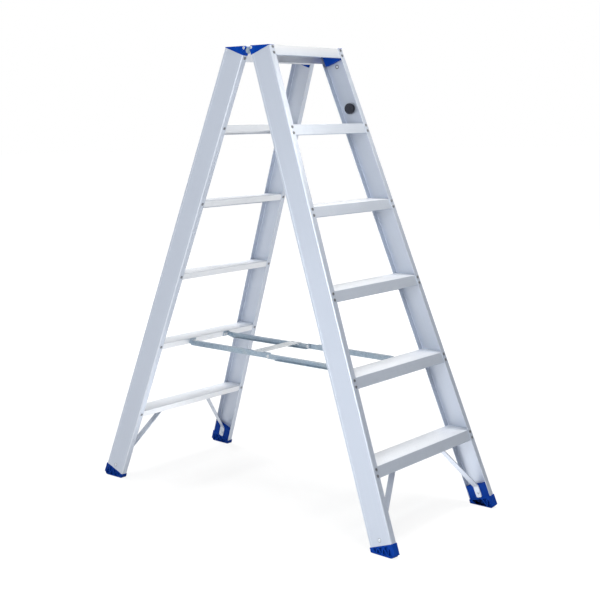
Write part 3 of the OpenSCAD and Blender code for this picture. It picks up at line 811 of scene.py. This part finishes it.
@dataclass
class Stile:
    """One channel stile with rounded corners and raised bands along the edges of its web."""

    side: Side
    hand: Hand
    edge_band_w: float = 0.009
    edge_band_h: float = 0.0006
    corner_r: float = 0.0045
    inner_r: float = 0.0012
    tip_r: float = 0.0007
    band_r: float = 0.0008
    arc_steps: int = 6

    def outline(self) -> tuple[Array, Array]:
        """Cross section of the channel, rounded at each corner.

        Returns:
            The rounded outline and its edge mark, which places the painted highlight.
        """
        far, flange = LADDER.stile_depth, -LADDER.stile_flange
        web, wall = -LADDER.web_wall, LADDER.flange_wall
        band, rise = self.edge_band_w, self.edge_band_h
        corners = np.array([
            [flange, 0], [0, 0], [0, band], [-rise, band + rise], [-rise, far - band - rise], [0, far - band],
            [0, far], [flange, far], [flange, far - wall], [web, far - wall], [web, wall], [flange, wall]])
        tip, big, soft, small = self.tip_r, self.corner_r, self.band_r, self.inner_r
        radii = np.array([tip, big, soft, soft, soft, soft, big, tip, tip, small, small, tip])
        return rounded(corners, radii, self.arc_steps)

    def build(self) -> None:
        """Carries the outline from the stile's top end to its lower end, and dresses the channel."""
        outline, mark = self.outline()
        along = np.array([0.0, -LADDER.stile_len])
        rings = np.concatenate([
            np.broadcast_to(outline, (2, *outline.shape)),
            np.broadcast_to(along[:, None, None], (2, len(outline), 1))], -1)
        name = f"{self.side.value}_{self.hand.value}_stile"
        shell = loft(LADDER.from_stile(rings, self.side, self.hand), mark)
        piece = add_shell(f"{name}_channel", shell)
        level_flats(piece)
        settle(piece, self.side.body, [name], STILE_FINISH)


@dataclass
class Tread:
    """One folded-lip tread: a ribbed plate, two leaning lips and a return under the outer one."""

    side: Side
    number: int
    lip_wall: float = 0.0022
    outer_lip_h: float = 0.0315
    inner_lip_h: float = 0.020
    top_inner_lip_h: float = 0.047
    lip_return: float = 0.005
    return_wall: float = 0.002
    groove_count: int = 12
    groove_depth: float = 0.001
    groove_at: tuple[float, ...] = (0.25, 0.32, 0.68, 0.75)
    nose_r: float = 0.0014
    bend_r: float = 0.0030
    rib_r: float = 0.0004
    cap_fit: float = 0.0003
    cap_plug_h: float = 0.032
    cap_plug_side: float = 0.0092
    drain_hole_d: float = 0.005
    # Strength of the painted shade at the outer lip's bend and return.
    bend_painted_shade: float = 1.8
    arc_steps: int = 4
    hole_sides: int = 32

    @property
    def inner_drop(self) -> float:
        """Height of the inner lip, which is larger on the top tread."""
        return self.top_inner_lip_h if self.number == LADDER.tread_count else self.inner_lip_h

    def outline(self) -> tuple[Array, Array]:
        """Cross section in Y and Z of the rear tread of this number.

        Returns:
            The rounded outline and its edge mark of painted shade, which is 1 on the outer lip and more at
            the lip's bend.
        """
        top = LADDER.tread_h(self.number)
        under, foot, low = top - LADDER.tread_plate, top - self.outer_lip_h, top - self.inner_drop
        inner, outer = LADDER.inner_lip_y, LADDER.outer_lip_y
        start = LADDER.lean_y(inner, top)
        step = (LADDER.lean_y(outer, top) - start) / self.groove_count
        i = np.arange(self.groove_count)[:, None]
        y = start + step * (i + np.array([self.groove_at]))
        z = top - self.groove_depth * np.broadcast_to([[0.0, 1.0, 1.0, 0.0]], y.shape)
        grooves = np.stack([y.ravel(), z.ravel()], -1)
        back, lift, wall = outer - self.lip_return, foot + self.return_wall, self.lip_wall
        across, height = np.array([
            [outer, top], [outer, foot], [back, foot], [back, lift], [outer - wall, lift],
            [outer - wall, under], [inner + wall, under], [inner + wall, low], [inner, low]]).T
        corners = np.stack([LADDER.lean_y(across, height), height], -1)
        points = np.concatenate([[[start, top]], grooves, corners])
        small = self.rib_r
        radii = np.concatenate([[self.nose_r], np.full(len(grooves), small), [self.nose_r, self.bend_r],
                                np.full(len(corners) - 2, small)])
        line, mark = rounded(points, radii, self.arc_steps)
        # Painted shade: only the noses and the bend keep a mark, the outer lip gets 1, and the bend and
        # return get more.
        mark = mark.reshape(len(radii), -1) * (radii > small)[:, None]
        nose, half = 1 + len(grooves), mark.shape[1] // 2
        mark[nose, half:] = 1.0
        mark[nose + 1] = 1.0 + (self.bend_painted_shade - 1.0) * mark[nose + 1]
        mark[nose + 1, half:] = self.bend_painted_shade
        mark[nose + 2] = self.bend_painted_shade
        return line, mark.ravel()

    def half_span(self, outline: Array) -> Array:
        """Half length of the tread at each point of its outline, so that its ends follow the leaning webs.

        Args:
            outline: Points in Y and Z of the rear tread.

        Returns:
            Distance from the ladder's middle to the tread's end.
        """
        y, z = outline[:, 0], outline[:, 1] - LADDER.hinge_h
        along = z * math.cos(LADDER.lean) - y * math.sin(LADDER.lean)
        return LADDER.web_x(along) - (LADDER.web_wall + LADDER.tread_end_fit) / math.cos(LADDER.flare)

    def cap_space(self, hand: Hand) -> list[Shell]:
        """Space of a cap above the stile's end and of its plug, which the top tread leaves free.

        Args:
            hand: Stile of the cap.

        Returns:
            Two boxes.
        """
        inside, deep = -LADDER.stile_flange - self.cap_fit, LADDER.stile_depth
        side = self.cap_plug_side - self.cap_fit
        boxes = (((inside, -deep, -self.cap_fit), (deep, deep * 2, deep * 2)),
                 ((inside, side, -self.cap_plug_h), (0.0, deep - side, deep)))
        return [loft(LADDER.from_stile(box_rings(*box), self.side, hand)) for box in boxes]

    def drain_hole(self) -> Shell:
        """Round bar through the inner lip, between the spreader's brackets.

        Returns:
            The closed shell.
        """
        low = LADDER.tread_h(self.number) - self.inner_lip_h / 2
        along = LADDER.section_z(low, LADDER.inner_lip_y)
        x, z = self.drain_hole_d / 2 * circle(self.hole_sides).T
        places = [LADDER.inner_lip_y - self.lip_wall, LADDER.inner_lip_y + self.lip_wall * 2]
        rings = np.stack([np.stack([x, np.full_like(x, y), z + along], -1) for y in places])
        return loft(LADDER.from_section(rings, self.side))

    def build(self) -> None:
        """Carries the outline from web to web, cuts the caps' space or the hole, and dresses the tread."""
        outline, mark = self.outline()
        half = self.half_span(outline)
        rings = np.stack([np.stack([half * t, outline[:, 0] * self.side.sign, outline[:, 1]], -1)
                          for t in (-1.0, 1.0)])
        name = f"{self.side.value}_tread_{self.number}"
        piece = add_shell(f"{name}_plank", loft(rings, mark))
        if self.number == LADDER.tread_count:
            cut_out(piece, [shell for hand in Hand for shell in self.cap_space(hand)])
        if self.side is Side.REAR and self.number == LADDER.spreader_tread:
            cut_out(piece, [self.drain_hole()])
        level_flats(piece)
        settle(piece, self.side.body, [name], TREAD_FINISH)


@dataclass
class Brace:
    """One flat strip from the foot's plug up to a tab below the lowest tread."""

    side: Side
    hand: Hand
    width: float = 0.020
    thick: float = 0.003
    top_x: float = 0.094
    tab: float = 0.030
    foot_len: float = 0.036
    foot_face: float = 0.0196
    bend_r: float = 0.012
    end_r: float = 0.005
    edge_r: float = 0.0006
    bend_steps: int = 10
    edge_points: int = 4
    stations: int = 26
    end_at: tuple[float, ...] = (0.02, 0.15, 0.4, 1.0)

    def corners(self) -> Array:
        """Ends and bends of the strip's middle line, for the rear right corner.

        Returns:
            Four points in the ladder's frame.
        """
        across = LADDER.hinge_gap + LADDER.stile_depth / 2
        low = -LADDER.stile_drop - LADDER.stile_run
        bend = low + self.foot_len
        inset = (self.foot_face + self.thick / 2) / math.cos(LADDER.flare)
        under = LADDER.first_tread_h - LADDER.tread_plate - self.thick / 2
        slope = np.array([[LADDER.web_x(z) - inset, across, z] for z in (low, bend)])
        lower = LADDER.from_section(slope, Side.REAR)
        y = LADDER.lean_y(across, under)
        upper = np.array([[self.top_x, y, under], [self.top_x - self.tab, y, under]])
        return np.concatenate([lower, upper])

    def build(self) -> None:
        """Carries a rounded strip along the bent line, with its width turned from the slope to the level."""
        line, _ = rounded(self.corners(), self.bend_r, self.bend_steps, closed=False)
        ends = self.end_r * np.array(self.end_at)
        step = run_along(line)
        total = step[-1]
        even = np.linspace(ends[-1], total - ends[-1], self.stations)
        places = np.unique(np.concatenate([ends, total - ends, step[1:-1], even]))
        middle = np.stack([np.interp(places, step, line[:, d]) for d in range(3)], -1)
        near = np.minimum(places, total - places)
        dip = self.end_r - np.minimum(near, self.end_r)
        width = self.width / 2 - self.end_r + np.sqrt(np.maximum(self.end_r ** 2 - dip ** 2, 0))
        ahead = np.gradient(middle, places, axis=0)
        ahead /= np.linalg.norm(ahead, axis=1, keepdims=True)
        slope = total - self.tab - self.foot_len
        turn = np.clip((places - self.foot_len) / slope, 0, 1)[:, None]
        leaning = np.array([0, math.cos(LADDER.lean), math.sin(LADDER.lean)])
        wide = (1 - turn) * leaning + turn * np.array([0, 1.0, 0])
        wide -= (wide * ahead).sum(1, keepdims=True) * ahead
        wide /= np.linalg.norm(wide, axis=1, keepdims=True)
        flat = np.cross(ahead, wide)
        square = np.array([[-1, -1], [1, -1], [1, 1], [-1, 1]], float)
        half = np.stack([width, np.full(len(width), self.thick / 2)], -1)
        inset = half - self.edge_r
        arc = np.linspace(0, math.pi / 2, self.edge_points)
        start = np.array([math.pi, 1.5 * math.pi, 0, 0.5 * math.pi])
        angle = start[:, None] + arc[None]
        unit = np.stack([np.cos(angle), np.sin(angle)], -1) * self.edge_r
        ring = (square[None, :, None] * inset[:, None, None] + unit[None]).reshape(len(places), -1, 2)
        rings = middle[:, None] + ring[..., :1] * wide[:, None] + ring[..., 1:] * flat[:, None]
        rings = rings * np.array([self.hand.sign, self.side.sign, 1.0])
        name = f"{self.side.value}_{self.hand.value}_brace"
        piece = add_shell(f"{name}_strip", loft(rings))
        level_flats(piece)
        settle(piece, self.side.body, [name], STILE_FINISH)


@dataclass
class SoftEdged:
    """A node of the frame shown as a copy with rounded edges: doubles merged, flats joined, then a Bevel."""

    node: str
    body: str
    slot: str
    finish: Finish
    edge_r: float = 0.0005
    weld: float = 1e-6
    clamp: bool = False
    flat_deg: float = 0.4
    sharp_deg: float = 32.0
    segments: int = 2

    def build(self) -> None:
        """Makes the copy, rounds its edges and lets it stand for the node."""
        mesh = frame["nodes"][self.node].data.copy()
        work = bmesh.new()
        work.from_mesh(mesh)
        bmesh.ops.remove_doubles(work, verts=work.verts, dist=self.weld)
        flat = math.radians(self.flat_deg)
        bmesh.ops.dissolve_limit(work, angle_limit=flat, verts=work.verts, edges=work.edges)
        work.to_mesh(mesh)
        work.free()
        if "custom_normal" in mesh.attributes:
            mesh.attributes.remove(mesh.attributes["custom_normal"])
        shade(mesh, self.sharp_deg)
        piece = add_object(f"{self.node}_moulded", mesh)
        bevel = piece.modifiers.new("soft_edges", "BEVEL")
        bevel.width, bevel.segments = self.edge_r, self.segments
        bevel.limit_method, bevel.angle_limit = "ANGLE", math.radians(self.sharp_deg)
        bevel.use_clamp_overlap = self.clamp
        bevel.miter_outer = "MITER_ARC"
        level_flats(piece)
        settle(piece, self.body, [self.node], self.finish)


@dataclass
class RivetMandrels:
    """The broken-off pins that fill the middle of a section's tread rivets, near-black so that they also
    paint the shade in the rivets' holes.
    """

    side: Side
    inset: float = 0.0125
    top_drop: float = 0.00575
    pitch: float = 0.0175
    inner_up: float = 0.010
    radius: float = 0.00125
    seat: float = 0.0006
    stand: float = 0.00105
    dome: float = 0.0002
    dome_share: float = 0.7
    sides: int = 16

    def places(self) -> tuple[Array, Array]:
        """Places and directions of the section's tread rivets.

        Returns:
            Centres on the flanges, and outward axes.
        """
        rows, deep = [], LADDER.stile_depth
        for number in range(1, LADDER.tread_count + 1):
            top = LADDER.tread_h(number)
            upper, lip = top - self.top_drop, Tread(self.side, number).inner_drop
            rows += [(deep, upper), (deep, upper - self.pitch), (0.0, top - lip + self.inner_up)]
        on_stile = np.array([[-self.inset, y, LADDER.stile_z(h, y, -self.inset)] for y, h in rows])
        outward = np.array([[0.0, 1.0 if y > 0 else -1.0, 0.0] for y, _ in rows])
        lines = [LADDER.stile_lines(on_stile, outward, self.side, hand) for hand in Hand]
        centres, axes = (np.concatenate(part) for part in zip(*lines))
        return centres, axes

    def build(self) -> None:
        """Turns one domed pin and sets a copy into each rivet."""
        low, high, r = self.seat, self.stand, self.radius
        shoulder = [r * self.dome_share, high + self.dome * self.dome_share]
        profile = np.array([[0, low], [r, low], [r, high], shoulder, [0, high + self.dome]])
        name = f"{self.side.value}_rivet_mandrels"
        piece = add_shell(name, turned_shell(profile, *self.places(), self.sides))
        settle(piece, self.side.body, [], PIN_AND_SHADE_BLACK)


@dataclass
class FlatRing:
    """Thin dark ring of painted shade on a face of a stile's web, under the head of a fastener."""

    name: str
    side: Side
    hand: Hand
    place: Triple
    outward: float
    inner_r: float = 0.0049
    outer_r: float = 0.0068
    thick: float = 0.0007
    round_r: float = 0.0002
    finish: Finish = PIN_AND_SHADE_BLACK
    arc_steps: int = 3

    def build(self) -> None:
        """Turns the ring round the fastener."""
        inner, outer, high = self.inner_r, self.outer_r, self.thick
        square = np.array([[inner, 0], [outer, 0], [outer, high], [inner, high]])
        profile, _ = rounded(square, self.round_r, self.arc_steps)
        way = np.array([[self.outward, 0, 0]])
        axis = LADDER.stile_lines(np.array([self.place]), way, self.side, self.hand)
        piece = add_shell(self.name, turned_shell(profile, *axis))
        settle(piece, self.side.body, [], self.finish)


@dataclass
class Knob:
    """Hanging knob on the inner web of the front right stile: a collar, a wider head and a dished top."""

    drop: float = 0.190
    radius: float = 0.0175
    collar_r: float = 0.0148
    collar_h: float = 0.0060
    head_z: float = 0.00696
    height: float = 0.015
    dish_r: float = 0.011
    dish_h: float = 0.0012
    bore_r: float = 0.0031
    edge_r: float = 0.0030
    under_r: float = 0.0012
    small_r: float = 0.0003
    arc_steps: int = 5
    sides: int = 64

    def build(self) -> None:
        """Turns the knob's profile round its screw."""
        floor, small, under = self.height - self.dish_h, self.small_r, self.under_r
        corners = np.array([
            [self.bore_r, 0], [self.collar_r, 0], [self.collar_r, self.collar_h], [self.radius, self.head_z],
            [self.radius, self.height], [self.dish_r, self.height], [self.dish_r - self.dish_h, floor],
            [self.bore_r, floor]])
        radii = np.array([small, small, under, under, self.edge_r, under, small, small])
        profile, _ = rounded(corners, radii, self.arc_steps)
        face = np.array([[-LADDER.web_wall, LADDER.stile_depth / 2, -self.drop]])
        axis = LADDER.stile_lines(face, np.array([[-1.0, 0, 0]]), Side.FRONT, Hand.RIGHT)
        piece = add_shell("hanging_knob_turned", turned_shell(profile, *axis, self.sides))
        settle(piece, Side.FRONT.body, ["hanging_knob"], BLACK_FINISH)


@dataclass
class Fittings:
    """Caps, feet, hinges, spreader and fasteners: nodes with rounded edges, or with a finish of their own."""

    plastic_r: float = 0.0006
    steel_r: float = 0.0004
    weld: float = 0.0004
    stud_drop: float = 0.046
    brace_rivet_up: float = 0.0155
    # Size of the painted-shade rings under the brace rivets' heads.
    shade_ring_r: float = 0.0059
    shade_ring_h: float = 0.0003

    def rings(self) -> None:
        """Lays painted shade: a dark ring under the stud and thin dark rings under the heads of the lower
        brace rivets.
        """
        middle = LADDER.stile_depth / 2
        stud = (-LADDER.web_wall, middle, -self.stud_drop)
        # Dark rings that paint the contact shade round the fastener heads.
        FlatRing("stud_shade_ring", Side.FRONT, Hand.RIGHT, stud, -1.0).build()
        for side in Side:
            for hand in Hand:
                rivet = (-Stile(side, hand).edge_band_h, middle, self.brace_rivet_up - LADDER.stile_len)
                FlatRing(f"{side.value}_{hand.value}_rivet_shade_ring", side, hand, rivet, 1.0, outer_r=self.shade_ring_r,
                         thick=self.shade_ring_h, round_r=self.shade_ring_h / 3, finish=DARK_RIVET).build()

    def build(self) -> None:
        """Dresses every fitting of the ladder."""
        self.rings()
        Knob().build()
        for side in Side:
            for hand in Hand:
                corner = f"{side.value}_{hand.value}"
                # The caps take the brighter copy of the blue plastic, which is painted light.
                SoftEdged(f"{corner}_cap", side.body, "blue_plastic", LIT_BLUE_FINISH, self.plastic_r,
                          self.weld, True).build()
                SoftEdged(f"{corner}_foot", side.body, "blue_plastic", BLUE_FINISH, self.plastic_r).build()
                spreader = f"{side.value}_spreader"
                for part, body in (("hinge_plate", side.body), ("bracket", side.body), ("bar", spreader)):
                    SoftEdged(f"{corner}_{part}", body, "zinc_steel", STEEL_FINISH, self.steel_r).build()
            for part, finish in (("tread_rivets", DARK_RIVET), ("cap_rivets", PALE_RIVET),
                                 ("brace_rivets", STILE_RIVET), ("bracket_rivets", PALE_RIVET),
                                 ("pivot_pins", STEEL_FINISH), ("middle_rivets", PALE_RIVET)):
                dress_node(f"{side.value}_{part}", finish)
        SoftEdged("cross_plate", "rear_spreader", "plate_steel", PLATE_FINISH, self.steel_r).build()
        for node, finish in (("left_hinge_pin", STEEL_FINISH), ("right_hinge_pin", STEEL_FINISH),
                             ("cross_plate_rivets", PALE_RIVET), ("knob_screw", BLACK_FINISH),
                             ("stile_stud", PALE_RIVET)):
            dress_node(node, finish)


@dataclass(frozen=True)
class SoftBox:
    """A soft lamp with its place, the point that it faces, its width and height, its power and its colour.

    Metal shows a mirrored lamp as a highlight, which would burn out the pale tops and the near web.
    """

    name: str
    at: Triple
    to: Triple
    size: Pair
    watts: float
    colour: Colour = (1.0, 1.0, 1.0)
    mirrored: bool = True

    def hang(self) -> None:
        """Adds the lamp to the scene."""
        data = bpy.data.lights.new(self.name, "AREA")
        data.shape, data.size, data.size_y = "RECTANGLE", *self.size
        data.energy, data.color = self.watts, self.colour
        made = add_object(self.name, data)
        made.visible_camera, made.visible_glossy = False, self.mirrored
        way = Vector(self.to) - Vector(self.at)
        made.matrix_world = Matrix.Translation(self.at) @ way.to_track_quat("-Z", "Y").to_matrix().to_4x4()


COOL = (0.92, 0.96, 1.0)
WARM = (1.0, 0.96, 0.88)
LAMPS = (
    SoftBox("top_box", (0, -0.3, 6.5), (0, 0, 0.6), (2.4, 2.4), 460.0, mirrored=False),
    SoftBox("back_box", (0.8, 4.5, 4.5), (0, 0, 0.6), (2.0, 2.0), 200.0, mirrored=False),
    SoftBox("side_box", (-2.6, -1.3, 1.6), (0, -0.2, 0.7), (1.2, 1.6), 40.0, COOL),
    SoftBox("near_box", (-1.1, -0.5, 0.6), (-0.25, -0.45, 0.6), (0.5, 1.3), 5.0, COOL, mirrored=False),
    SoftBox("front_box", (0.35, -1.0, 1.75), (0, -0.15, 1.3), (0.5, 0.4), 7.2, WARM),
    SoftBox("floor_box", (0, -0.1, 0.004), (0, -0.1, 1), (0.42, 0.9), 1.35),
)


@dataclass
class Studio:
    """Pale floor, soft lamps, even surroundings and the camera of the photograph."""

    camera_at: Triple = (-2.72562, -2.39069, 1.2206)
    heading: float = math.radians(49.38)
    pitch: float = math.radians(-6.67)
    roll: float = math.radians(-0.73)
    lens: float = 67.857
    shift_y: float = -0.08333
    sensor: float = 36.0
    view_end: float = 100.0
    floor_r: float = 40.0
    floor_sides: int = 96
    floor_drop: float = 0.0006
    floor_glow: float = 0.86
    floor_bounce: float = 0.4
    white_from: Pair = (0.9, 2.6)
    surround: Colour = (0.80, 0.88, 1.0)
    surround_strength: float = 0.04
    room: Colour = (0.10, 0.115, 0.15)
    room_from: Pair = (-0.25, 0.4)

    def camera(self) -> None:
        """Sets the camera: forward from heading and pitch, with up and right turned by the roll."""
        h, p, r = self.heading, self.pitch, self.roll
        ahead = Vector((math.sin(h) * math.cos(p), math.cos(h) * math.cos(p), math.sin(p)))
        right = Vector((math.cos(h), -math.sin(h), 0.0))
        up = right.cross(ahead)
        right, up = right * math.cos(r) + up * math.sin(r), up * math.cos(r) - right * math.sin(r)
        data = bpy.data.cameras.new("camera")
        data.sensor_width, data.lens, data.shift_y = self.sensor, self.lens, self.shift_y
        data.clip_end = self.view_end
        made = add_object("camera", data)
        turn = Matrix((right, up, -ahead)).transposed().to_4x4()
        made.matrix_world = Matrix.Translation(self.camera_at) @ turn
        bpy.context.scene.camera = made

    @staticmethod
    def seen(graph: Graph) -> Socket:
        """Mark of the rays that show the surroundings: straight, mirrored or through glass.

        Args:
            graph: Graph to add the nodes to.

        Returns:
            1 for such rays, and 0 for others.
        """
        paths = [graph.node("ShaderNodeLightPath", out=name)
                 for name in ("Is Camera Ray", "Is Glossy Ray", "Is Transmission Ray")]
        return paths[0].larger(paths[1]).larger(paths[2])

    def floor(self) -> None:
        """Lays a round floor that looks white and keeps a faint shadow."""
        x, y = self.floor_r * circle(self.floor_sides).T
        ring = np.stack([x, y, np.full_like(x, -self.floor_drop)], -1)
        mesh = bpy.data.meshes.new("floor")
        mesh.from_pydata(ring.tolist(), [], [list(range(self.floor_sides))])
        piece = add_object("floor", mesh)
        material = bpy.data.materials.new("PaleFloor")
        material.use_nodes = True
        graph = Graph(material.node_tree)
        bounce, rest = self.floor_bounce, 1 - self.floor_glow
        dull = graph.node("ShaderNodeBsdfDiffuse", None, {"Color": (bounce, bounce, bounce, 1)})
        lit = graph.node("ShaderNodeBsdfDiffuse", None, {"Color": (rest, rest, rest, 1)})
        away = graph.node("ShaderNodeVectorMath", {"operation": "LENGTH"}, {0: graph.objects()}, "Value")
        near = self.floor_glow
        white = graph.blend(away.ramp(*self.white_from), (near, near, near), (1.0, 1.0, 1.0))
        glow = graph.node("ShaderNodeEmission", None, {"Color": white, "Strength": 1.0})
        pale = graph.node("ShaderNodeAddShader", None, {0: lit, 1: glow})
        graph.surface(graph.node("ShaderNodeMixShader", None, {0: self.seen(graph), 1: dull, 2: pale}))
        mesh.materials.append(material)

    def world(self) -> None:
        """Sets white surroundings that mirror dark on the front side, and a faint light of their own."""
        world = bpy.data.worlds.new("studio")
        world.use_nodes = True
        graph = Graph(world.node_tree)
        light = graph.node("ShaderNodeBackground", None,
                           {"Color": (*self.surround, 1), "Strength": self.surround_strength})
        way = graph.node("ShaderNodeTexCoord", out="Generated")
        front = (graph.node("ShaderNodeSeparateXYZ", None, {0: way}, "Y") * -1.0).ramp(*self.room_from)
        mirrored = 1.0 - graph.node("ShaderNodeLightPath", out="Is Camera Ray")
        backdrop = graph.blend(front * mirrored, (1.0, 1.0, 1.0), self.room)
        white = graph.node("ShaderNodeBackground", None, {"Color": backdrop, "Strength": 1.0})
        graph.surface(graph.node("ShaderNodeMixShader", None, {0: self.seen(graph), 1: light, 2: white}))
        bpy.context.scene.world = world

    def build(self) -> None:
        """Sets up the whole studio."""
        bpy.context.scene.view_settings.view_transform = "Standard"
        self.camera()
        self.floor()
        self.world()
        for lamp in LAMPS:
            lamp.hang()


def main() -> None:
    """Builds the ladder's pieces and the studio in order."""
    logging.basicConfig(level=logging.INFO, format="%(name)s: %(message)s")
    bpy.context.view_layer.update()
    Studio().build()
    for side in Side:
        for hand in Hand:
            Stile(side, hand).build()
            Brace(side, hand).build()
        for number in range(1, LADDER.tread_count + 1):
            Tread(side, number).build()
        RivetMandrels(side).build()
    Fittings().build()


if __name__ == "__main__":
    main()
